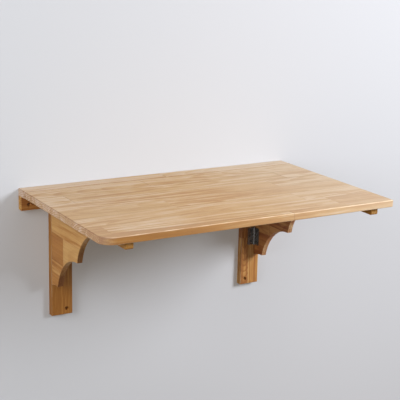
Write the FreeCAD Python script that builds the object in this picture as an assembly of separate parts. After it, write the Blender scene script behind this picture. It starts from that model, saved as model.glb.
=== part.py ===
import FreeCAD, Part

import math
import os

from FreeCAD import Matrix, Placement, Vector

# Wall mounted drop leaf table, all sizes in millimetres.
# The wall is the plane y = 0, the table faces -y, z is up and x = 0 is the middle of the table.
# z = 0 is the row of wall screw holes in the rail.

# --- table and boards ---
table_length = 800.0
table_depth = 500.0
board = 18.0
strip_depth = 44.0
seam_gap = 2.0
left_corner_radius = 34.0
right_corner_radius = 5.0
top_edge_radius = 2.5
under_edge_radius = 2.0

# --- rail and posts on the wall ---
rail_height = 37.0
rail_thickness = 20.0
rail_hole_above_bottom = 15.0
rail_hole_from_end = 20.0
rail_hole_count = 4
post_width = 58.0
post_thickness = 18.0
post_length = 295.0
post_from_end = 80.0
post_hole_from_outer_edge = 42.0
post_hole_above_foot = 16.0
wood_edge_radius = 1.2

# --- holes for the wall screws ---
wall_hole_radius = 2.5
counterbore_radius = 5.0
counterbore_depth = 5.0

# --- swinging brackets ---
bracket_thickness = 15.0
bracket_front = 286.0
bracket_back_gap = 0.6
bracket_top_gap = 0.3
scallop_radius = 126.0
scallop_step_y = 122.0
scallop_step_z = 98.66
scallop_tip_y = 58.0
scallop_tip_below_top = 257.0

# --- battens under the leaf ---
batten_width = 20.0
batten_thickness = 18.0
left_batten_beside_bracket = 0.5
right_batten_beside_bracket = 20.0
batten_from_hinge = 10.0
batten_from_front = 12.0
batten_nose_radius = 4.0
batten_screw_from_end = 36.0

# --- butt hinges, all seven alike ---
hinge_length = 50.0
hinge_width = 20.0
hinge_plate = 2.0
hinge_corner = 3.0
knuckle_radius = 3.2
knuckle_count = 5
knuckle_gap = 0.3
knuckle_clearance = 0.4
knuckle_to_plate = 0.5
pin_radius = 1.5
pin_running_clearance = 0.05
pin_head_radius = 2.3
pin_head = 0.8
leaf_hinge_beside_bracket = 3.0
bracket_hinge_below_rail = 14.0
bracket_hinge_spacing = 114.0

# --- screws and dowels ---
hinge_screw_cover = 3.0
hinge_screw_radius = 1.6
hinge_screw_head = 3.6
hinge_screw_from_end = 10.0
hinge_screw_from_edge = 6.5
hinge_screw_stagger = 4.5
batten_screw_bite = 12.0
batten_screw_radius = 2.0
batten_screw_head = 4.2
strip_screw_bite = 13.0
strip_screw_radius = 2.2
strip_screw_head = 4.4
strip_screw_from_end = 45.0
strip_screw_count = 5
strip_screw_sink = 8.0
screw_point = 0.3
countersink_depth = 1.9
cross_recess_width = 0.9
cross_recess_length = 3.6
cross_recess_depth = 1.0
dowel_radius = 4.0
dowel_length = 30.0
dowel_offset = 15.0

# --- places that follow from the sizes above ---
rail_bottom = -rail_hole_above_bottom
rail_top = rail_bottom + rail_height
table_top = rail_top + board
half_length = table_length / 2
post_outer = half_length - post_from_end
post_inner = post_outer - post_width
post_bottom = rail_bottom - post_length
post_hole_x = post_outer - post_hole_from_outer_edge
upper_hinge_z = rail_bottom - bracket_hinge_below_rail - hinge_length / 2
lower_hinge_z = upper_hinge_z - bracket_hinge_spacing
post_hole_heights = ((upper_hinge_z + lower_hinge_z) / 2, post_bottom + post_hole_above_foot)
outer_leaf_hinge_x = post_outer + leaf_hinge_beside_bracket + hinge_length / 2
hinge_offset = knuckle_radius + knuckle_clearance
hinge_screw_length = hinge_plate + bracket_thickness - hinge_screw_cover
batten_screw_length = batten_thickness + batten_screw_bite
strip_screw_length = rail_height - strip_screw_sink + strip_screw_bite
leaf_back = -strip_depth - seam_gap
leaf_axis_y = -strip_depth - seam_gap / 2
leaf_axis_z = rail_top - hinge_offset
bracket_inner = post_outer - bracket_thickness
bracket_axis_x = bracket_inner - hinge_offset
bracket_axis_y = -post_thickness - hinge_offset
bracket_back = -rail_thickness - bracket_back_gap
bracket_top = rail_top - bracket_top_gap
batten_back = leaf_axis_y - hinge_width - batten_from_hinge
batten_front = batten_from_front - table_depth


def box(x0, x1, y0, y1, z0, z1):
    """A block between two corners, given as low and high values."""
    return Part.makeBox(x1 - x0, y1 - y0, z1 - z0, Vector(x0, y0, z0))


def rod(start, direction, radius, length):
    """A round bar from a start point along a direction."""
    return Part.makeCylinder(radius, length, start, direction)


def placed(shape, origin, x_way, y_way):
    """A copy of a shape with its own x and y turned to two given directions."""
    z_way = x_way.cross(y_way)
    turn = Matrix(
        x_way.x, y_way.x, z_way.x, origin.x,
        x_way.y, y_way.y, z_way.y, origin.y,
        x_way.z, y_way.z, z_way.z, origin.z,
        0, 0, 0, 1,
    )
    moved = shape.copy()
    moved.Placement = Placement(turn).multiply(shape.Placement)
    return moved


def cut_all(shape, tools):
    """A solid with several others cut out of it."""
    for tool in tools:
        shape = shape.cut(tool)
    return shape


def write(name, shapes):
    """One STEP file with one solid or a group of separate solids."""
    solids = []
    for shape in shapes:
        if not shape.isValid() or len(shape.Solids) != 1:
            raise ValueError(name + " is not one valid solid each")
        solids.append(shape.Solids[0])
    whole = solids[0] if len(solids) == 1 else Part.makeCompound(solids)
    whole.exportStep("parts/" + name + ".step")
    print(name, len(solids), round(sum(s.Volume for s in solids)))


def rounded(shape, radius, wanted):
    """A solid with some of its edges rounded."""
    edges = [edge for edge in shape.Edges if wanted(edge)]
    return shape.makeFillet(radius, edges)


def screw(length, radius, head_radius):
    """A countersunk wood screw along +y, its flat head at y = 0."""
    along = Vector(0, 1, 0)
    tip = 3 * radius
    shank = rod(Vector(0, countersink_depth, 0), along, radius, length - countersink_depth - tip)
    head = Part.makeCone(head_radius, radius, countersink_depth, Vector(0, 0, 0), along)
    point = Part.makeCone(radius, screw_point, tip, Vector(0, length - tip, 0), along)
    body = head.fuse([shank, point]).removeSplitter()
    half = cross_recess_length * head_radius / hinge_screw_head / 2
    arm = cross_recess_width / 2
    body = body.cut(box(-half, half, 0, cross_recess_depth, -arm, arm))
    return body.cut(box(-arm, arm, 0, cross_recess_depth, -half, half))


def screw_space(length, radius, head_radius):
    """The hole that a screw fills, without the recess in its head."""
    along = Vector(0, 1, 0)
    tip = 3 * radius
    shank = rod(Vector(0, countersink_depth, 0), along, radius, length - countersink_depth - tip)
    head = Part.makeCone(head_radius, radius, countersink_depth, Vector(0, 0, 0), along)
    point = Part.makeCone(radius, screw_point, tip, Vector(0, length - tip, 0), along)
    return head.fuse([shank, point]).removeSplitter()


def knuckle_spans(own):
    """Where the knuckles of one plate lie along the pin. The outer plate has the odd ones."""
    step = hinge_length / knuckle_count
    spans = []
    for number in range(knuckle_count):
        if (number % 2 == 0) != own:
            continue
        low = -hinge_length / 2 + number * step
        high = low + step
        if number > 0:
            low += knuckle_gap / 2
        if number < knuckle_count - 1:
            high -= knuckle_gap / 2
        spans.append((low, high))
    return spans


def hinge_plate_shape(holds_pin):
    """One plate of a butt hinge. The pin is the z axis, the plate runs along +x, the wood is at +y."""
    wood = hinge_offset
    edge = knuckle_radius + knuckle_to_plate
    plate = box(edge, hinge_width, wood - hinge_plate, wood, -hinge_length / 2, hinge_length / 2)
    plate = rounded(
        plate,
        hinge_corner,
        lambda e: abs(e.BoundBox.YLength - hinge_plate) < 0.01 and e.BoundBox.XMin > hinge_width - 0.01,
    )
    pieces = []
    for low, high in knuckle_spans(holds_pin):
        tongue = box(0, edge, wood - hinge_plate, wood, low, high)
        knuckle = rod(Vector(0, 0, low), Vector(0, 0, 1), knuckle_radius, high - low)
        pieces += [tongue, knuckle]
    plate = plate.fuse(pieces).removeSplitter()
    bore = pin_radius if holds_pin else pin_radius + pin_running_clearance
    plate = plate.cut(rod(Vector(0, 0, -hinge_length), Vector(0, 0, 1), bore, 2 * hinge_length))
    return cut_all(plate, hinge_screws(screw_space))


def hinge_screws(maker):
    """The three screws of one plate, or the holes they fill, in the plate's own directions."""
    outer_x = hinge_width - hinge_screw_from_edge
    inner_x = outer_x - hinge_screw_stagger
    end_z = hinge_length / 2 - hinge_screw_from_end
    out = []
    for along_x, along_z in ((inner_x, -end_z), (outer_x, 0), (inner_x, end_z)):
        one = maker(hinge_screw_length, hinge_screw_radius, hinge_screw_head)
        one.translate(Vector(along_x, hinge_offset - hinge_plate, along_z))
        out.append(one)
    return out


def hinge_pin():
    """A hinge pin with a low head on each end."""
    up = Vector(0, 0, 1)
    half = hinge_length / 2
    shaft = rod(Vector(0, 0, -half), up, pin_radius, hinge_length)
    low = rod(Vector(0, 0, -half - pin_head), up, pin_head_radius, pin_head)
    high = rod(Vector(0, 0, half), up, pin_head_radius, pin_head)
    return shaft.fuse([low, high]).removeSplitter()


class Hinge:
    """Where one hinge sits: its middle, and each plate's way along the wood and into it."""

    def __init__(self, name, middle, held_along, held_wood, moving_along, moving_wood):
        self.name = name
        self.held = (middle, held_along, held_wood)
        self.moving = (middle, moving_along, moving_wood)

    def held_parts(self, shapes):
        return [placed(shape, *self.held) for shape in shapes]

    def moving_parts(self, shapes):
        return [placed(shape, *self.moving) for shape in shapes]


def leaf_hinges():
    """The three hinges under the seam: one plate on the strip, the other under the leaf."""
    out = []
    for name, x in (("left", -outer_leaf_hinge_x), ("middle", 0), ("right", outer_leaf_hinge_x)):
        middle = Vector(x, leaf_axis_y, leaf_axis_z)
        up = Vector(0, 0, 1)
        out.append(Hinge(name + "_leaf_hinge", middle, Vector(0, 1, 0), up, Vector(0, -1, 0), up))
    return out


def bracket_hinges(side):
    """The two hinges of one bracket. side is -1 at the left and 1 at the right."""
    out = []
    for name, z in (("upper", upper_hinge_z), ("lower", lower_hinge_z)):
        middle = Vector(side * bracket_axis_x, bracket_axis_y, z)
        inwards = Vector(-side, 0, 0)
        outwards = Vector(side, 0, 0)
        label = ("left_" if side < 0 else "right_") + name + "_bracket_hinge"
        out.append(Hinge(label, middle, inwards, Vector(0, 1, 0), Vector(0, -1, 0), outwards))
    return out


def wall_holes(x, z, thickness):
    """A counterbored hole for a wall screw through a board on the wall."""
    into_wall = Vector(0, 1, 0)
    through = rod(Vector(x, -thickness - 1, z), into_wall, wall_hole_radius, thickness + 2)
    wide = rod(Vector(x, -thickness - 1, z), into_wall, counterbore_radius, counterbore_depth + 1)
    return [through, wide]


def spread(from_end, count):
    """Places along x, evenly spaced between the same distance from each end of the table."""
    span = table_length - 2 * from_end
    return [-span / 2 + number * span / (count - 1) for number in range(count)]


def strip_screw_tools(maker):
    """The screws that come up through the rail into the strip, or the holes they fill."""
    out = []
    for x in spread(strip_screw_from_end, strip_screw_count):
        one = maker(strip_screw_length, strip_screw_radius, strip_screw_head)
        head = Vector(x, -rail_thickness / 2, rail_bottom + strip_screw_sink)
        out.append(placed(one, head, Vector(1, 0, 0), Vector(0, 0, 1)))
    return out


def strip_screw_counterbores():
    out = []
    for x in spread(strip_screw_from_end, strip_screw_count):
        start = Vector(x, -rail_thickness / 2, rail_bottom - 1)
        out.append(rod(start, Vector(0, 0, 1), strip_screw_head, strip_screw_sink + 1))
    return out


def dowels(side):
    """The two dowels that line up a post under the rail."""
    middle = side * (post_outer + post_inner) / 2
    out = []
    for offset in (-dowel_offset, dowel_offset):
        start = Vector(middle + offset, -post_thickness / 2, rail_bottom - dowel_length / 2)
        out.append(rod(start, Vector(0, 0, 1), dowel_radius, dowel_length))
    return out


def wall_rail():
    rail = box(-half_length, half_length, -rail_thickness, 0, rail_bottom, rail_top)
    rail = rounded(
        rail,
        wood_edge_radius,
        lambda e: e.BoundBox.YMax < 0.01 - rail_thickness and e.BoundBox.ZMax < rail_top - 0.01
        and e.BoundBox.XLength > 1,
    )
    tools = []
    for x in spread(rail_hole_from_end, rail_hole_count):
        tools += wall_holes(x, 0, rail_thickness)
    tools += strip_screw_counterbores() + strip_screw_tools(screw_space)
    tools += dowels(-1) + dowels(1)
    return cut_all(rail, tools)


def top_strip():
    strip = box(-half_length, half_length, -strip_depth, 0, rail_top, table_top)
    strip = rounded(
        strip,
        top_edge_radius,
        lambda e: e.BoundBox.ZMin > table_top - 0.01 and e.BoundBox.YMin < -0.01,
    )
    tools = strip_screw_tools(screw_space)
    for hinge in leaf_hinges():
        tools += hinge.held_parts(hinge_screws(screw_space))
    return cut_all(strip, tools)


def wall_post(side):
    x0, x1 = sorted((side * post_outer, side * post_inner))
    post = box(x0, x1, -post_thickness, 0, post_bottom, rail_bottom)
    post = rounded(
        post,
        wood_edge_radius,
        lambda e: e.BoundBox.YMax < 0.01 - post_thickness and e.BoundBox.ZMin < rail_bottom - 0.01,
    )
    tools = dowels(side)
    for z in post_hole_heights:
        tools += wall_holes(side * post_hole_x, z, post_thickness)
    for hinge in bracket_hinges(side):
        tools += hinge.held_parts(hinge_screws(screw_space))
    return cut_all(post, tools)


def corner_arc(side, radius):
    """The rounding of one front corner of the leaf. side is -1 at the left and 1 at the right."""
    front = -table_depth
    turn = radius * (1 - math.sqrt(0.5))
    at_side = Vector(side * half_length, front + radius, 0)
    half_way = Vector(side * (half_length - turn), front + turn, 0)
    at_front = Vector(side * (half_length - radius), front, 0)
    return Part.Arc(at_side, half_way, at_front)


def leaf_board():
    """The leaf with rounded front corners, rounded all over at the top and at the front below."""
    front = -table_depth
    left = left_corner_radius
    right = right_corner_radius
    h = half_length
    path = [
        Part.LineSegment(Vector(-h, leaf_back, 0), Vector(-h, front + left, 0)),
        corner_arc(-1, left),
        Part.LineSegment(Vector(-h + left, front, 0), Vector(h - right, front, 0)),
        corner_arc(1, right),
        Part.LineSegment(Vector(h, front + right, 0), Vector(h, leaf_back, 0)),
        Part.LineSegment(Vector(h, leaf_back, 0), Vector(-h, leaf_back, 0)),
    ]
    outline = Part.Wire([piece.toShape() for piece in path])
    outline.translate(Vector(0, 0, rail_top))
    board_shape = Part.Face(outline).extrude(Vector(0, 0, board))
    board_shape = rounded(board_shape, top_edge_radius, lambda e: e.BoundBox.ZMin > table_top - 0.01)
    board_shape = rounded(
        board_shape,
        under_edge_radius,
        lambda e: e.BoundBox.ZMax < rail_top + 0.01 and e.BoundBox.YMin < leaf_back - 1,
    )
    tools = batten_screws(-1, screw_space) + batten_screws(1, screw_space)
    for hinge in leaf_hinges():
        tools += hinge.moving_parts(hinge_screws(screw_space))
    return cut_all(board_shape, tools)


def batten_sides(side):
    """The low and high x of a batten, just outside its bracket."""
    inner = post_outer + (left_batten_beside_bracket if side < 0 else right_batten_beside_bracket)
    return sorted((side * inner, side * (inner + batten_width)))


def batten_screws(side, maker):
    """Screws from below through a batten into the leaf, or the holes they fill."""
    low, high = batten_sides(side)
    back = batten_back - batten_screw_from_end
    front = batten_front + batten_screw_from_end
    out = []
    for y in (back, (back + front) / 2, front):
        one = maker(batten_screw_length, batten_screw_radius, batten_screw_head)
        head = Vector((low + high) / 2, y, rail_top - batten_thickness)
        out.append(placed(one, head, Vector(1, 0, 0), Vector(0, 0, 1)))
    return out


def batten(side):
    """A batten under the leaf, eased along its lower edges and more so under its front end."""
    low, high = batten_sides(side)
    under = rail_top - batten_thickness
    shape = box(low, high, batten_front, batten_back, under, rail_top)
    shape = rounded(
        shape,
        batten_nose_radius,
        lambda e: e.BoundBox.ZMax < under + 0.01 and e.BoundBox.YMax < batten_front + 0.01,
    )
    shape = rounded(
        shape,
        wood_edge_radius,
        lambda e: e.BoundBox.ZMax < under + batten_nose_radius + 0.01 and e.BoundBox.YLength > 1
        and e.BoundBox.XLength < 0.01,
    )
    return cut_all(shape, batten_screws(side, screw_space))


def scallop(number):
    """The middle of one scallop's arc and the tip where it ends nearest the wall, as (y, z)."""
    tip_y = -scallop_tip_y - number * scallop_step_y
    tip_z = table_top - scallop_tip_below_top + number * scallop_step_z
    chord = math.hypot(scallop_step_y, scallop_step_z)
    hollow = math.sqrt(scallop_radius**2 - (chord / 2) ** 2) / chord
    middle_y = tip_y - scallop_step_y / 2 - scallop_step_z * hollow
    middle_z = tip_z + scallop_step_z / 2 - scallop_step_y * hollow
    return (middle_y, middle_z), (tip_y, tip_z)


def scallop_arc(x, middle, start, end):
    """An arc of a scallop at one x, from a start point to an end point, as (y, z)."""
    turn = (
        math.atan2(start[1] - middle[1], start[0] - middle[0])
        + math.atan2(end[1] - middle[1], end[0] - middle[0])
    ) / 2
    half_way = Vector(
        x,
        middle[0] + scallop_radius * math.cos(turn),
        middle[1] + scallop_radius * math.sin(turn),
    )
    return Part.Arc(Vector(x, *start), half_way, Vector(x, *end))


def on_arc(middle, y):
    """The upper point of a scallop's arc at one y."""
    return y, middle[1] + math.sqrt(scallop_radius**2 - (y - middle[0]) ** 2)


def gusset(side):
    """A swinging bracket with stacked scallops along its front."""
    x0, x1 = sorted((side * bracket_inner, side * post_outer))
    upper_middle, upper_tip = scallop(1)
    lower_middle, lower_tip = scallop(0)
    foot_middle = scallop(-1)[0]
    nose = on_arc(upper_middle, -bracket_front)
    heel = on_arc(foot_middle, bracket_back)
    top_back = Vector(x0, bracket_back, bracket_top)
    top_front = Vector(x0, -bracket_front, bracket_top)
    path = [
        Part.LineSegment(top_back, top_front),
        Part.LineSegment(top_front, Vector(x0, *nose)),
        scallop_arc(x0, upper_middle, nose, upper_tip),
        scallop_arc(x0, lower_middle, upper_tip, lower_tip),
        scallop_arc(x0, foot_middle, lower_tip, heel),
        Part.LineSegment(Vector(x0, *heel), top_back),
    ]
    outline = Part.Wire([piece.toShape() for piece in path])
    shape = Part.Face(outline).extrude(Vector(x1 - x0, 0, 0))
    shape = rounded(
        shape,
        wood_edge_radius,
        lambda e: e.BoundBox.XLength < 0.01 and e.BoundBox.ZMin < bracket_top - 1
        and e.BoundBox.YMin < bracket_back - 1,
    )
    tools = []
    for hinge in bracket_hinges(side):
        tools += hinge.moving_parts(hinge_screws(screw_space))
    return cut_all(shape, tools)


def write_hinges(hinges, moving_name):
    for hinge in hinges:
        write(hinge.name + "_fixed_plate", hinge.held_parts([hinge_plate_shape(True)]))
        write(hinge.name + "_" + moving_name, hinge.moving_parts([hinge_plate_shape(False)]))
        write(hinge.name + "_pin", hinge.held_parts([hinge_pin()]))


def all_screws(hinges, moving):
    out = []
    for hinge in hinges:
        screws = hinge_screws(screw)
        out += hinge.moving_parts(screws) if moving else hinge.held_parts(screws)
    return out


os.makedirs("parts", exist_ok=True)

write("wall_rail", [wall_rail()])
write("top_strip", [top_strip()])
write("left_wall_post", [wall_post(-1)])
write("right_wall_post", [wall_post(1)])
write("post_dowels", dowels(-1) + dowels(1))
write("strip_screws", strip_screw_tools(screw))
write("strip_hinge_screws", all_screws(leaf_hinges(), False))

write("leaf_board", [leaf_board()])
write("left_batten", [batten(-1)])
write("right_batten", [batten(1)])
write("batten_screws", batten_screws(-1, screw) + batten_screws(1, screw))
write("leaf_hinge_screws", all_screws(leaf_hinges(), True))
write_hinges(leaf_hinges(), "leaf_plate")

for side, name in ((-1, "left"), (1, "right")):
    write(name + "_gusset", [gusset(side)])
    write(name + "_post_hinge_screws", all_screws(bracket_hinges(side), False))
    write(name + "_gusset_hinge_screws", all_screws(bracket_hinges(side), True))
    write_hinges(bracket_hinges(side), "gusset_plate")
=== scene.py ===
import math
from collections import namedtuple

import bpy
from mathutils import Matrix, Vector

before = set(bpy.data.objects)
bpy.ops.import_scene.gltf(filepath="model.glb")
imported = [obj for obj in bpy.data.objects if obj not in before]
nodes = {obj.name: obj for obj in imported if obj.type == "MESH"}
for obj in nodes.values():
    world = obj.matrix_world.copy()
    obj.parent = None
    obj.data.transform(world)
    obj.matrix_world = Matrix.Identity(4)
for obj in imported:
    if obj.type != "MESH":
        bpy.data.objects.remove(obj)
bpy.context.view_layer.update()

X, Y, Z = 0, 1, 2

# --- places on the object, in metres ---
LEAF_BACK = -0.046
LEAF_STAVE = 0.07175
BRACKET_STAVE = 0.073
BRACKET_BORDER = -0.151
BRACKET_JOINT = -0.094
POST_STAVE = 0.08
LEFT_POST_BORDER = -0.33
RIGHT_POST_BORDER = 0.287
FLOOR_Z = -0.9
FLOOR_REACH = 9
WALL_Y = 0.0006
WALL_REACH, WALL_TOP = 6, 5

# --- wood: colours ---
# the three tones of each wood, from early growth to late, and where they stand on the scale of tone
TOP_TONES = ((0.62, 0.435, 0.265), (0.53, 0.3, 0.085), (0.43, 0.185, 0.014))
FRAME_TONES = ((0.64, 0.395, 0.15), (0.46, 0.21, 0.05), (0.3, 0.11, 0.02))
POST_TONES = ((0.63, 0.39, 0.13), (0.45, 0.21, 0.038), (0.29, 0.112, 0.01))
RED_TONES = ((0.6, 0.3, 0.1), (0.45, 0.17, 0.045), (0.29, 0.085, 0.02))
TONE_STOPS = (0.3, 0.56, 0.84)
MIDDLE_TONE = 0.53

# tints that multiply the wood's colour; the front and seam tints are painted shade
WARM_TINT = (1.0, 0.92, 0.82)
PORE_TINT = (0.45, 0.32, 0.22)
FRONT_SHADE_TINT = (0.66, 0.62, 0.72)
GLUE_TINT = (0.42, 0.27, 0.17)
END_RING_TINT = (0.7, 0.56, 0.42)
END_ARRIS_TINT = (0.55, 0.42, 0.34)
SEAM_SHADE_TINT = (0.5, 0.38, 0.3)
# the pale colour that the table's right end is painted towards, a painted sheen, and what an edge is
# lightened by, from wear and, on the top's front arris, as a painted highlight
RIGHT_SHEEN_COLOUR = (0.76, 0.6, 0.42)
WEAR_AND_HIGHLIGHT_EDGE_COLOUR = (1.0, 0.82, 0.6)
# the painted sheen of the lacquer, a painted reflection on the top, and what end grain makes of the colour:
# on the rail and the right bracket a painted light, on the left bracket a painted shade
LEAF_SHEEN = (0.06, 0.11, 0.125)
STRIP_SHEEN = (0.08, 0.14, 0.17)
TOP_ENDS = (1.0, 1.0, 1.1)
BATTEN_ENDS = (0.78, 0.84, 1.15)
RAIL_LIT_ENDS = (1.3, 1.65, 2.1)
LEFT_BRACKET_SHADED_ENDS = (0.42, 0.33, 0.26)
RIGHT_BRACKET_LIT_ENDS = (1.05, 1.5, 2.6)
PLAIN_ENDS = (0.82, 0.72, 0.63)

# --- wood: grain ---
# Noise that is drawn out along the grain: its scales along and across, the range of it that is taken
# to 0 to 1, its share in the tone, and the noise's own settings.
Grain = namedtuple(
    "Grain", "along across low high share detail roughness smooth", defaults=(0.0, 2.0, 0.5, False),
)
FIBRE = Grain(9.0, 430.0, 0.32, 0.68, share=0.08, detail=3.0)
STREAK = Grain(3.6, 64.0, 0.34, 0.66, share=0.36, detail=4.0, roughness=0.6)
VEIN = Grain(7.0, 170.0, 0.36, 0.64, share=0.2, detail=3.0)
FIGURE = Grain(17.0, 26.0, 0.34, 0.66, share=0.1)
STAIN = Grain(6.0, 125.0, 0.65, 0.73, share=0.34, smooth=True)
CLOUD = Grain(3.0, 9.0, 0.3, 0.7, share=0.08)
PORE = Grain(75.0, 1300.0, 0.6, 0.72, detail=1.0, smooth=True)
CALM = Grain(2.2, 7.0, 0.36, 0.64, detail=1.0)
WANDER = Grain(2.4, 7.0, 0.0, 1.0, detail=3.0)
BLOCK_SHARE = 0.16
LATE_SHARE = 0.2
LEAST_LIVELY, MOST_LIVELY = 0.5, 1.4

# the logs: how far apart the blocks lie in them, where their pith lies beside and under the stave
LOG_SPREAD = 40.0
REDRAW = 7.0  # makes a second random number out of one
JOINT_SPREAD = 9.0
PITH_ASIDE = 0.07
PITH_NEAR, PITH_FAR = 0.012, 0.09
RING_WANDER = 0.022
RINGS_PER_METRE = 185.0
# how late growth darkens over one ring
RING_STOPS = ((0.0, 0.0), (0.55, 0.22), (0.9, 1.0), (1.0, 0.05))
# how far from a joint its glue line is full and gone, and how open it is by place, on a face and an edge
GLUE_LINE = (0.0002, 0.0014)
GLUE_SHARES = (0.15, 0.8)
GLUE_ON_FACE, GLUE_ON_EDGE = 1.0, 0.4

# --- wood: wear, painted sheen and painted shade, with places as x on the table in metres ---
# the table's right end is painted paler over this span, a painted sheen
RIGHT_SHEEN_SPAN = (-0.15, 0.4)
# where the middle of the top gets less painted sheen, a painted shade
SHADED_MIDDLE_SPAN = (0.04, 0.3)
SHADED_MIDDLE_SHEEN, OPEN_SHEEN = 0.5, 1.0
# how the painted sheen on the front edge grows from left to right
EDGE_SHEEN_SPAN = (-0.3, 0.4)
EDGE_SHEEN_LEFT, EDGE_SHEEN_RIGHT = 0.15, 0.95
# the front edge's left is painted darker over this span, a painted shade streaked with the grain
FRONT_SHADE_SPAN = (-0.36, 0.05)
LEAST_FRONT_SHADE = 0.25
# how nearly a surface has to face along the grain to count as end grain, and for its arris to be darkened
END_FACING = (0.72, 0.92)
END_ARRIS_FACING = (0.2, 0.55)
RUB_SCALE = 24.0
RUB_SHARES = (0.25, 1.0)

# --- lacquer and metal ---
LACQUER_ROUGHNESS = 0.55
COAT = {"Coat_Weight": 0.1, "Coat_Roughness": 0.5}
PEEL_SCALE = 900.0
DUST_SCALE = 130.0
WEAR_SCALE = 240.0
WEAR_RADIUS = 0.0005
# the colour of the plating's edges, paler from wear and as a painted highlight
WEAR_AND_HIGHLIGHT_METAL = (0.42, 0.4, 0.38)


def opaque(colour):
    """A plain colour with its alpha. A socket stays as it is."""
    return (*colour, 1.0) if isinstance(colour, tuple) else colour


class Graph:
    """The nodes of one material, wired up by short calls."""

    def __init__(self, name):
        self.material = bpy.data.materials.new(name)
        self.material.use_nodes = True
        self.tree = self.material.node_tree
        self.tree.nodes.clear()

    def node(self, kind, **settings):
        made = self.tree.nodes.new(kind)
        for key, value in settings.items():
            setattr(made, key, value)
        return made

    def feed(self, socket, value):
        if isinstance(value, bpy.types.NodeSocket):
            self.tree.links.new(value, socket)
        else:
            socket.default_value = value

    def math(self, operation, *values):
        made = self.node("ShaderNodeMath", operation=operation)
        for number, value in enumerate(values):
            self.feed(made.inputs[number], value)
        return made.outputs[0]

    def add(self, *values):
        total = values[0]
        for value in values[1:]:
            total = self.math("ADD", total, value)
        return total

    def times(self, *values):
        total = values[0]
        for value in values[1:]:
            total = self.math("MULTIPLY", total, value)
        return total

    def rest_of(self, share):
        """What a share leaves of 1."""
        return self.math("SUBTRACT", 1.0, share)

    def stretch(self, value, low, high, new_low=0.0, new_high=1.0, smooth=False):
        """A value taken from one range to another and held inside it."""
        made = self.node("ShaderNodeMapRange")
        made.interpolation_type = "SMOOTHSTEP" if smooth else "LINEAR"
        for number, item in enumerate((value, low, high, new_low, new_high)):
            self.feed(made.inputs[number], item)
        return made.outputs[0]

    def vector(self, x, y, z):
        made = self.node("ShaderNodeCombineXYZ")
        for number, value in enumerate((x, y, z)):
            self.feed(made.inputs[number], value)
        return made.outputs[0]

    def split(self, value):
        made = self.node("ShaderNodeSeparateXYZ")
        self.feed(made.inputs[0], value)
        return list(made.outputs)

    def noise(self, vector, scale=1.0, detail=2.0, roughness=0.5):
        made = self.node("ShaderNodeTexNoise")
        self.feed(made.inputs["Vector"], vector)
        made.inputs["Scale"].default_value = scale
        made.inputs["Detail"].default_value = detail
        made.inputs["Roughness"].default_value = roughness
        return made.outputs[0]

    def chance(self, *values):
        """Three random numbers that go with up to three whole ones."""
        made = self.node("ShaderNodeTexWhiteNoise", noise_dimensions="3D")
        padded = list(values) + [0.0] * (3 - len(values))
        self.feed(made.inputs["Vector"], self.vector(*padded))
        return self.split(made.outputs["Color"])

    def blend(self, share, first, second, way="MIX"):
        """Two colours mixed."""
        made = self.node("ShaderNodeMix", data_type="RGBA", blend_type=way)
        made.clamp_factor = True
        self.feed(made.inputs[0], share)
        self.feed(made.inputs[6], opaque(first))
        self.feed(made.inputs[7], opaque(second))
        return made.outputs[2]

    def tint(self, share, base, colour):
        return self.blend(share, base, colour, "MULTIPLY")

    def lighten(self, share, base, colour):
        return self.blend(share, base, colour, "SCREEN")

    def ramp(self, value, stops):
        """A colour ramp, its stops given as (place, colour)."""
        made = self.node("ShaderNodeValToRGB")
        elements = made.color_ramp.elements
        while len(elements) < len(stops):
            elements.new(0.5)
        for element, (place, colour) in zip(elements, stops):
            element.position = place
            element.color = opaque(colour)
        self.feed(made.inputs[0], value)
        return made.outputs[0]

    def bump(self, height, strength, distance):
        made = self.node("ShaderNodeBump")
        made.inputs["Strength"].default_value = strength
        made.inputs["Distance"].default_value = distance
        self.feed(made.inputs["Height"], height)
        return made.outputs[0]

    def finish(self, base, roughness, normal, **fixed):
        """The shader and the output. Fixed values are set on the shader's own sockets."""
        shader = self.node("ShaderNodeBsdfPrincipled")
        self.feed(shader.inputs["Base Color"], base)
        self.feed(shader.inputs["Roughness"], roughness)
        self.feed(shader.inputs["Normal"], normal)
        for key, value in fixed.items():
            shader.inputs[key.replace("_", " ")].default_value = value
        self.output(shader.outputs[0])
        return self.material

    def output(self, shader):
        out = self.node("ShaderNodeOutputMaterial")
        self.tree.links.new(shader, out.inputs[0])


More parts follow.
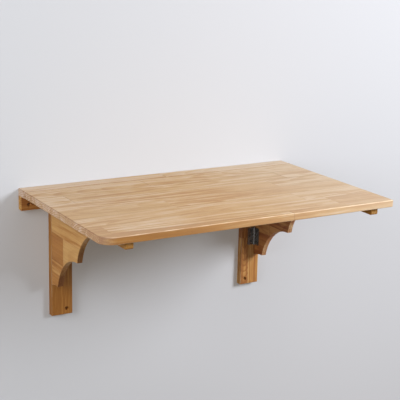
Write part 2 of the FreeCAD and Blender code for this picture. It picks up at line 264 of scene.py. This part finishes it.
class Board(Graph):
    """The nodes of a board that is glued up from staves, each of them from blocks end to end.

    along and across are axes: of the grain and of the row of staves. stave is the staves' width and block
    the blocks' length. Stave 0 starts at border, and block 0 of that stave starts at joint.
    lean is how far the log leans in the board at most, which bends its rings into arches.
    """

    def __init__(self, name, along, across, stave, border, block, joint, seed, lean):
        super().__init__(name)
        coordinates = self.node("ShaderNodeTexCoord")
        self.place = self.split(coordinates.outputs["Object"])
        normal = self.split(coordinates.outputs["Normal"])
        thick = X + Y + Z - along - across
        self.a, self.b, self.c = self.place[along], self.place[across], self.place[thick]
        self.out_a, self.out_b, self.out_c = normal[along], normal[across], normal[thick]

        stave_place = self.math("DIVIDE", self.math("SUBTRACT", self.b, border), stave)
        self.stave_number = self.math("FLOOR", stave_place)
        in_stave = self.math("FRACT", stave_place)
        stave_chance = self.chance(self.stave_number, seed)
        other = self.math("MINIMUM", self.math("ABSOLUTE", self.stave_number), 1.0)
        block_place = self.math("DIVIDE", self.math("SUBTRACT", self.a, joint), block)
        moved = self.times(stave_chance[0], other)
        block_place = self.math("MULTIPLY_ADD", moved, JOINT_SPREAD, block_place)
        self.block_number = self.math("FLOOR", block_place)
        in_block = self.math("FRACT", block_place)
        chances = self.chance(self.stave_number, self.block_number, seed)
        self.tone_chance, self.ring_chance, self.depth_chance = chances

        # each block is sawn from its own place in a log, so rings show as lines, arches or end grain
        self.shift = self.times(self.tone_chance, LOG_SPREAD)
        self.late = self.late_growth(in_stave, stave, lean)

        from_side = self.times(self.math("MINIMUM", in_stave, self.rest_of(in_stave)), stave)
        from_end = self.times(self.math("MINIMUM", in_block, self.rest_of(in_block)), block)
        nearest = self.math("MINIMUM", from_side, from_end)
        self.glue_line = self.stretch(nearest, *GLUE_LINE, 1.0, 0.0, smooth=True)

    def grain(self, kind, moved=True):
        """One kind of noise along the grain, from 0 to 1."""
        far = self.times(self.a, kind.along)
        if moved:
            far = self.add(far, self.shift)
        drawn = self.vector(far, self.times(self.b, kind.across), self.times(self.c, kind.across))
        noise = self.noise(drawn, detail=kind.detail, roughness=kind.roughness)
        return self.stretch(noise, kind.low, kind.high, smooth=kind.smooth)

    def late_growth(self, in_stave, stave, lean):
        """The rings of the log, dark where their growth was late."""
        aside = self.stretch(self.ring_chance, 0.0, 1.0, -PITH_ASIDE, PITH_ASIDE)
        from_pith_b = self.add(self.times(self.math("SUBTRACT", in_stave, 0.5), stave), aside)
        slope = self.math("FRACT", self.times(self.depth_chance, REDRAW))
        slope = self.stretch(slope, 0.0, 1.0, -lean, lean)
        depth = self.stretch(self.depth_chance, 0.0, 1.0, PITH_NEAR, PITH_FAR)
        from_pith_c = self.add(self.c, depth, self.times(self.a, slope))
        squares = self.add(self.times(from_pith_b, from_pith_b), self.times(from_pith_c, from_pith_c))
        wander = self.times(self.math("SUBTRACT", self.grain(WANDER), 0.5), RING_WANDER)
        radius = self.add(self.math("SQRT", squares), wander)
        ring = self.math("FRACT", self.times(radius, RINGS_PER_METRE))
        return self.ramp(ring, [(place, (dark, dark, dark)) for place, dark in RING_STOPS])


def wood(name, tones, along, across, stave, border, block, seed, joint=0.0, block_tones=(),
         ends=PLAIN_ENDS, contrast=1.0, rub_and_light=(0.5, 0.5), right_sheen=0.0, sheen=None, lean=0.07):
    """Lacquered wood: rings, streaks, fibres, pores, glue lines, end grain and edges paler from wear, with
    painted sheen, highlights and shade where asked.

    The board's own values are as Board says. block_tones makes single staves or blocks darker or paler,
    given as (stave, block or None for the whole stave, change); a change above 0 is darker.
    ends is what end grain makes of the colour; on the rail and the brackets it is a painted light or shade.
    The edge setting says how much paler the edges are, on the side where across is low and where it is
    high, from wear and, on the top's front arris, as a painted highlight; below 0 they are darker, a
    painted shade in the seam between leaf and strip. The right-end setting says how far the table's right
    end is painted paler, a painted sheen. The sheen setting is a painted sheen of the lacquer on a top's
    upper face,
    ends and edges: it is weaker in the middle, a painted shade, and on the left of the front edge, which is
    painted darker there, a painted shade streaked with the grain.
    """
    g = Board(name, along, across, stave, border, block, joint, seed, lean)
    table_x = g.place[X]
    fibre, streak, vein, figure, stain, cloud = (
        g.grain(kind) for kind in (FIBRE, STREAK, VEIN, FIGURE, STAIN, CLOUD)
    )
    pore = g.grain(PORE, moved=False)

    tone = g.add(
        g.times(g.tone_chance, BLOCK_SHARE),
        g.times(streak, STREAK.share),
        g.times(vein, VEIN.share),
        g.times(g.late, LATE_SHARE),
        g.times(fibre, FIBRE.share),
        g.times(figure, FIGURE.share),
        g.times(stain, STAIN.share),
        g.times(cloud, CLOUD.share),
    )
    lively = g.times(g.stretch(g.grain(CALM), 0.0, 1.0, LEAST_LIVELY, MOST_LIVELY), contrast)
    tone = g.math("MULTIPLY_ADD", g.math("SUBTRACT", tone, MIDDLE_TONE), lively, MIDDLE_TONE)
    for stave_wanted, block_wanted, change in block_tones:
        here = g.math("COMPARE", g.stave_number, stave_wanted, 0.5)
        if block_wanted is not None:
            here = g.times(here, g.math("COMPARE", g.block_number, block_wanted, 0.5))
        tone = g.math("MULTIPLY_ADD", here, change, tone)
    base = g.ramp(tone, list(zip(TONE_STOPS, tones)))
    base = g.tint(g.stretch(g.ring_chance, 0.0, 1.0, 0.0, 0.5), base, WARM_TINT)
    base = g.tint(g.times(pore, 0.3), base, PORE_TINT)

    endwise = g.math("ABSOLUTE", g.out_a)
    sidewise = g.math("ABSOLUTE", g.out_b)
    # the right end painted paler, a painted sheen
    if right_sheen:
        base = g.blend(g.stretch(table_x, *RIGHT_SHEEN_SPAN, 0.0, right_sheen), base, RIGHT_SHEEN_COLOUR)
    # a painted sheen on a top's upper face, ends and edges, weaker in the middle as a painted shade
    if sheen:
        out_of_shade = g.stretch(g.math("ABSOLUTE", table_x), *SHADED_MIDDLE_SPAN, SHADED_MIDDLE_SHEEN, OPEN_SHEEN)
        upper_face = g.times(g.math("MAXIMUM", g.out_c, 0.0), out_of_shade)
        side = g.times(sidewise, g.stretch(table_x, *EDGE_SHEEN_SPAN, EDGE_SHEEN_LEFT, EDGE_SHEEN_RIGHT))
        base = g.lighten(g.add(upper_face, endwise, side), base, sheen)
        # the left of the front edge painted darker, a painted shade streaked with the grain
        leftward = g.stretch(table_x, *FRONT_SHADE_SPAN, 1.0, 0.0)
        front_shade = g.times(sidewise, leftward, g.add(LEAST_FRONT_SHADE, streak))
        base = g.tint(front_shade, base, FRONT_SHADE_TINT)

    # glue lines between staves and where two blocks meet, open here and tight there
    patches = g.noise(g.vector(g.times(g.a, 5.0), g.times(g.stave_number, 7.7), seed))
    patches = g.stretch(patches, 0.4, 0.62, *GLUE_SHARES)
    openness = g.stretch(sidewise, 0.3, 0.9, GLUE_ON_FACE, GLUE_ON_EDGE)
    base = g.tint(g.times(g.glue_line, patches, openness), base, GLUE_TINT)

    # end grain takes its ends colour, a painted light or shade on the rail and brackets, and is darker
    # along its arris; the other edges are paler from wear and a painted highlight, or darker as a painted
    # shade in the seam
    end = g.stretch(endwise, *END_FACING, smooth=True)
    base = g.tint(end, base, ends)
    base = g.tint(g.times(end, g.late, 0.5), base, END_RING_TINT)
    facing = g.times(g.out_c, g.out_c)
    edge = g.times(facing, g.rest_of(facing), 4.0)
    arris = g.stretch(edge, 0.35, 0.95, smooth=True)
    # the arris of end grain is darkened
    end_arris = g.times(arris, g.stretch(endwise, *END_ARRIS_FACING))
    base = g.tint(g.times(end_arris, 0.8), base, END_ARRIS_TINT)
    rub = g.noise(g.vector(*(g.times(value, RUB_SCALE) for value in g.place)), detail=3.0)
    wear_and_highlight = g.times(arris, g.rest_of(end_arris), g.stretch(rub, 0.4, 0.62, *RUB_SHARES))
    # paler edges are wear and a painted highlight; darker ones are a painted shade in the seam
    rub_and_light_here = g.stretch(g.out_b, -0.2, 0.2, *rub_and_light)
    base = g.lighten(g.times(wear_and_highlight, rub_and_light_here), base, WEAR_AND_HIGHLIGHT_EDGE_COLOUR)
    base = g.tint(g.times(arris, rub_and_light_here, -1.0), base, SEAM_SHADE_TINT)

    roughness = g.add(
        LACQUER_ROUGHNESS,
        g.times(fibre, 0.07),
        g.times(cloud, 0.06),
        g.times(pore, 0.15),
        g.times(end, 0.25),
        g.times(wear_and_highlight, -0.06),
    )
    height = g.add(
        g.times(fibre, 0.3),
        g.times(g.late, 0.2),
        g.times(pore, -0.8),
        g.times(g.glue_line, -0.9),
    )
    return g.finish(base, roughness, g.bump(height, 0.3, 0.00025), **COAT)


def dark_plating(name, base_grey, rough):
    """Dark nickel plating with a slight orange peel, paler at its edges from wear and as a painted
    highlight.
    """
    g = Graph(name)
    place = g.node("ShaderNodeTexCoord").outputs["Object"]
    peel = g.noise(place, scale=PEEL_SCALE)
    dust = g.stretch(g.noise(place, scale=DUST_SCALE, detail=4.0, roughness=0.65), 0.42, 0.72)
    geometry = g.node("ShaderNodeNewGeometry")
    bevel = g.node("ShaderNodeBevel", samples=4)
    bevel.inputs["Radius"].default_value = WEAR_RADIUS
    dot = g.node("ShaderNodeVectorMath", operation="DOT_PRODUCT")
    g.feed(dot.inputs[0], bevel.outputs[0])
    g.feed(dot.inputs[1], geometry.outputs["Normal"])
    edge = g.stretch(dot.outputs["Value"], 0.9, 0.995, 1.0, 0.0)
    wear_and_highlight = g.times(edge, g.stretch(g.noise(place, scale=WEAR_SCALE, detail=3.0), 0.42, 0.6))
    plain = (base_grey, 0.95 * base_grey, 0.91 * base_grey)
    dusty = tuple(1.5 * value for value in plain)
    base = g.blend(g.times(dust, 0.5), plain, dusty)
    base = g.blend(g.times(wear_and_highlight, 0.6), base, WEAR_AND_HIGHLIGHT_METAL)
    roughness = g.add(rough, g.times(dust, 0.12), g.times(wear_and_highlight, -0.08))
    return g.finish(base, roughness, g.bump(peel, 0.2, 0.0001), Metallic=0.75)


def zinc_plating(name):
    """Plain zinc plating, dull in patches."""
    g = Graph(name)
    place = g.node("ShaderNodeTexCoord").outputs["Object"]
    patch = g.stretch(g.noise(place, scale=160.0, detail=4.0), 0.35, 0.68)
    base = g.blend(patch, (0.5, 0.49, 0.47), (0.66, 0.65, 0.63))
    roughness = g.add(0.28, g.times(patch, 0.16))
    return g.finish(base, roughness, g.bump(patch, 0.1, 0.0001), Metallic=1.0)


def dress(names, material):
    for name in names:
        slots = nodes[name].data.materials
        slots.clear()
        slots.append(material)


# --- the table top ---
# the top carries a painted sheen, a paler right end, painted shade in its middle, on its front edge's left
# and in the seam, and a painted highlight along its front arris
dress(["leaf_board"], wood(
    "leaf_wood", TOP_TONES, X, Y, stave=LEAF_STAVE, border=LEAF_BACK, block=0.62, seed=3.0,
    block_tones=((-7, None, 0.24), (-5, None, -0.03), (-4, None, 0.03), (-1, None, -0.14)),
    ends=TOP_ENDS, contrast=1.4, rub_and_light=(0.55, -0.9), right_sheen=0.26, sheen=LEAF_SHEEN,
))
# the strip carries a painted sheen, a paler right end and a painted shade along the seam
dress(["top_strip"], wood(
    "strip_wood", TOP_TONES, X, Y, stave=0.3, border=-0.2, block=0.9, seed=5.0,
    block_tones=((0, None, -0.2),),
    ends=TOP_ENDS, contrast=1.3, rub_and_light=(-0.9, 0.3), right_sheen=0.3, sheen=STRIP_SHEEN,
))
dress(["left_batten", "right_batten"], wood(
    "batten_wood", TOP_TONES, Y, X, stave=0.2, border=0.0, block=1.3, seed=2.0,
    block_tones=((-2, None, 0.2), (1, None, 0.2)), ends=BATTEN_ENDS,
))

# --- the frame ---
# the rail is toned darker, a painted shade under the leaf, and its ends are painted paler, a painted light
dress(["wall_rail"], wood(
    "rail_wood", FRAME_TONES, X, Z, stave=0.3, border=-0.1, block=1.1, seed=8.0,
    block_tones=((0, None, 0.1),), ends=RAIL_LIT_ENDS,
))
dress(["left_wall_post"], wood(
    "left_post_wood", POST_TONES, Z, X, stave=POST_STAVE, border=LEFT_POST_BORDER, block=1.2, seed=6.0,
    block_tones=((0, None, 0.24),),
))
# the right post's left stave is darker, partly its own tone and partly a painted shadow of the gusset
dress(["right_wall_post"], wood(
    "right_post_wood", FRAME_TONES, Z, X, stave=POST_STAVE, border=RIGHT_POST_BORDER, block=1.2, seed=9.0,
    block_tones=((-1, None, 0.24), (0, None, 0.06)), contrast=1.6, lean=0.5,
))
# the left bracket's cut faces are painted dark, a painted shade under the leaf
dress(["left_gusset"], wood(
    "left_bracket_wood", FRAME_TONES, Y, Z, stave=BRACKET_STAVE, border=BRACKET_BORDER, block=0.4, seed=4.0,
    joint=BRACKET_JOINT, block_tones=((0, 0, 0.12), (0, -1, -0.14), (1, None, -0.12), (-1, None, 0.05)),
    ends=LEFT_BRACKET_SHADED_ENDS, contrast=0.6,
))
# the right bracket's cut faces are painted pale, a painted light from the right
dress(["right_gusset"], wood(
    "right_bracket_wood", RED_TONES, Y, Z, stave=BRACKET_STAVE, border=BRACKET_BORDER, block=0.4, seed=7.0,
    joint=BRACKET_JOINT, block_tones=((0, 0, 0.05), (0, -1, -0.06)),
    ends=RIGHT_BRACKET_LIT_ENDS, contrast=1.15,
))
dress(["post_dowels"], wood(
    "dowel_wood", FRAME_TONES, Z, X, stave=0.5, border=0.0, block=0.5, seed=1.0,
))

# --- the metal ---
dress([name for name in nodes if name.endswith(("_plate", "_pin"))], dark_plating("hinge_nickel", 0.2, 0.2))
dress([name for name in nodes if name.endswith("hinge_screws")], dark_plating("screw_nickel", 0.12, 0.24))
dress(["strip_screws", "batten_screws"], zinc_plating("screw_steel"))


# --- floor and wall ---
def stage_paint(name, colour, lit_right_colour, fill):
    """Matt paint that only the camera and reflections see, and only from its front.

    It lets other rays through, so the light reaches the object's back as it does its front.
    fill is the light of the room that reaches its shadows. Its colour grows paler to the right, a painted
    fall of the light.
    """
    g = Graph(name)
    place = g.node("ShaderNodeTexCoord").outputs["Object"]
    mottle = g.noise(place, scale=3.0, detail=3.0)
    # the paint grows paler to the right, a painted fall of the light
    rightward = g.stretch(g.split(place)[X], -0.9, 0.7, smooth=True)
    base = g.blend(rightward, colour, lit_right_colour)
    base = g.blend(g.times(mottle, 0.05), base, (0.6, 0.6, 0.6))
    paint = g.node("ShaderNodeBsdfDiffuse")
    g.feed(paint.inputs["Color"], base)
    glow = g.node("ShaderNodeEmission")
    glow.inputs["Color"].default_value = opaque(fill)
    lit = g.node("ShaderNodeAddShader")
    g.feed(lit.inputs[0], paint.outputs[0])
    g.feed(lit.inputs[1], glow.outputs[0])
    clear = g.node("ShaderNodeBsdfTransparent")
    rays = g.node("ShaderNodeLightPath").outputs
    seen = g.math("MAXIMUM", rays["Is Glossy Ray"], rays["Is Transmission Ray"])
    seen = g.math("MAXIMUM", rays["Is Camera Ray"], seen)
    rear = g.node("ShaderNodeNewGeometry").outputs["Backfacing"]
    mixed = g.node("ShaderNodeMixShader")
    g.feed(mixed.inputs[0], g.times(seen, g.rest_of(rear)))
    g.feed(mixed.inputs[1], clear.outputs[0])
    g.feed(mixed.inputs[2], lit.outputs[0])
    g.output(mixed.outputs[0])
    return g.material


def stage_sheet(name, corners, material):
    """A flat sheet of the stage, its corners in anticlockwise order as its front is seen."""
    mesh = bpy.data.meshes.new(name)
    mesh.from_pydata(corners, [], [list(range(len(corners)))])
    mesh.materials.append(material)
    sheet = bpy.data.objects.new(name, mesh)
    bpy.context.scene.collection.objects.link(sheet)


wall_paint = stage_paint("wall_paint", (0.465, 0.5, 0.56), (0.505, 0.53, 0.59), (0.105, 0.09, 0.073))
floor_paint = stage_paint("floor_paint", (0.42, 0.42, 0.43), (0.45, 0.45, 0.46), (0.13, 0.13, 0.13))
wall_corners = [
    (-WALL_REACH, WALL_Y, FLOOR_Z),
    (WALL_REACH, WALL_Y, FLOOR_Z),
    (WALL_REACH, WALL_Y, WALL_TOP),
    (-WALL_REACH, WALL_Y, WALL_TOP),
]
floor_corners = [
    (-FLOOR_REACH, -FLOOR_REACH, FLOOR_Z),
    (FLOOR_REACH, -FLOOR_REACH, FLOOR_Z),
    (FLOOR_REACH, FLOOR_REACH, FLOOR_Z),
    (-FLOOR_REACH, FLOOR_REACH, FLOOR_Z),
]
stage_sheet("stage_wall", wall_corners, wall_paint)
stage_sheet("stage_floor", floor_corners, floor_paint)

# --- light ---
# name, place, target, width in metres, power in watts, colour
LAMPS = (
    ("key_light", (1.95, -2.3, 1.25), (0.0, -0.2, -0.05), 1.3, 100.0, (1.0, 1.0, 0.99)),
    ("top_light", (0.2, -0.9, 2.3), (0.0, -0.25, 0.0), 1.8, 12.0, (1.0, 1.0, 1.0)),
    ("left_light", (-2.6, -1.3, 0.95), (0.0, -0.25, -0.05), 2.0, 58.0, (1.0, 0.985, 0.965)),
    ("front_light", (-0.6, -3.1, 1.15), (0.0, -0.25, -0.05), 2.2, 8.0, (1.0, 0.99, 0.98)),
    ("back_light", (2.2, 2.4, 0.75), (0.3, -0.1, 0.0), 1.2, 9.0, (1.0, 0.99, 0.98)),
    ("rear_light", (-1.2, 2.8, 0.9), (0.0, -0.1, -0.1), 2.0, 10.0, (1.0, 1.0, 1.0)),
)
for lamp_name, place, target, size, power, colour in LAMPS:
    lamp_data = bpy.data.lights.new(lamp_name, "AREA")
    lamp_data.shape = "DISK"
    lamp_data.size = size
    lamp_data.energy = power
    lamp_data.color = colour
    lamp = bpy.data.objects.new(lamp_name, lamp_data)
    lamp.location = place
    lamp.rotation_mode = "QUATERNION"
    lamp.rotation_quaternion = (Vector(target) - Vector(place)).to_track_quat("-Z", "Y")
    bpy.context.scene.collection.objects.link(lamp)

# the room's faint warm light on the object, and the pale backdrop that the camera sees
world = bpy.data.worlds.new("studio")
bpy.context.scene.world = world
world.use_nodes = True
world_nodes, world_links = world.node_tree.nodes, world.node_tree.links
world_nodes.clear()
room = world_nodes.new("ShaderNodeBackground")
room.inputs["Color"].default_value = (1.0, 0.87, 0.75, 1.0)
room.inputs["Strength"].default_value = 0.15
backdrop = world_nodes.new("ShaderNodeBackground")
backdrop.inputs["Color"].default_value = (0.80, 0.80, 0.815, 1.0)
backdrop.inputs["Strength"].default_value = 0.95
world_rays = world_nodes.new("ShaderNodeLightPath")
world_mix = world_nodes.new("ShaderNodeMixShader")
world_out = world_nodes.new("ShaderNodeOutputWorld")
world_links.new(world_rays.outputs["Is Camera Ray"], world_mix.inputs[0])
world_links.new(room.outputs[0], world_mix.inputs[1])
world_links.new(backdrop.outputs[0], world_mix.inputs[2])
world_links.new(world_mix.outputs[0], world_out.inputs[0])

# --- camera, as solved from the photograph's own lines ---
AZIMUTH = -0.53065
ELEVATION = 0.25236
ROLL = 0.02428
DISTANCE = 2.76859
TARGET = Vector((-0.015135, -0.25, 0.026191))
LENS = 99.42
SENSOR = 36.0

back = Vector((
    math.sin(AZIMUTH) * math.cos(ELEVATION),
    -math.cos(AZIMUTH) * math.cos(ELEVATION),
    math.sin(ELEVATION),
))
right = (-back).cross(Vector((0, 0, 1))).normalized()
up = back.cross(right)
camera_x = math.cos(ROLL) * right + math.sin(ROLL) * up
camera_y = -math.sin(ROLL) * right + math.cos(ROLL) * up
camera_data = bpy.data.cameras.new("camera")
camera_data.lens = LENS
camera_data.sensor_width = SENSOR
camera_data.sensor_fit = "HORIZONTAL"
camera = bpy.data.objects.new("camera", camera_data)
bpy.context.scene.collection.objects.link(camera)
turn = Matrix((camera_x, camera_y, back)).transposed()
camera.rotation_mode = "QUATERNION"
camera.rotation_quaternion = turn.to_quaternion()
camera.location = TARGET + back * DISTANCE
bpy.context.scene.camera = camera

bpy.context.scene.view_settings.view_transform = "Standard"
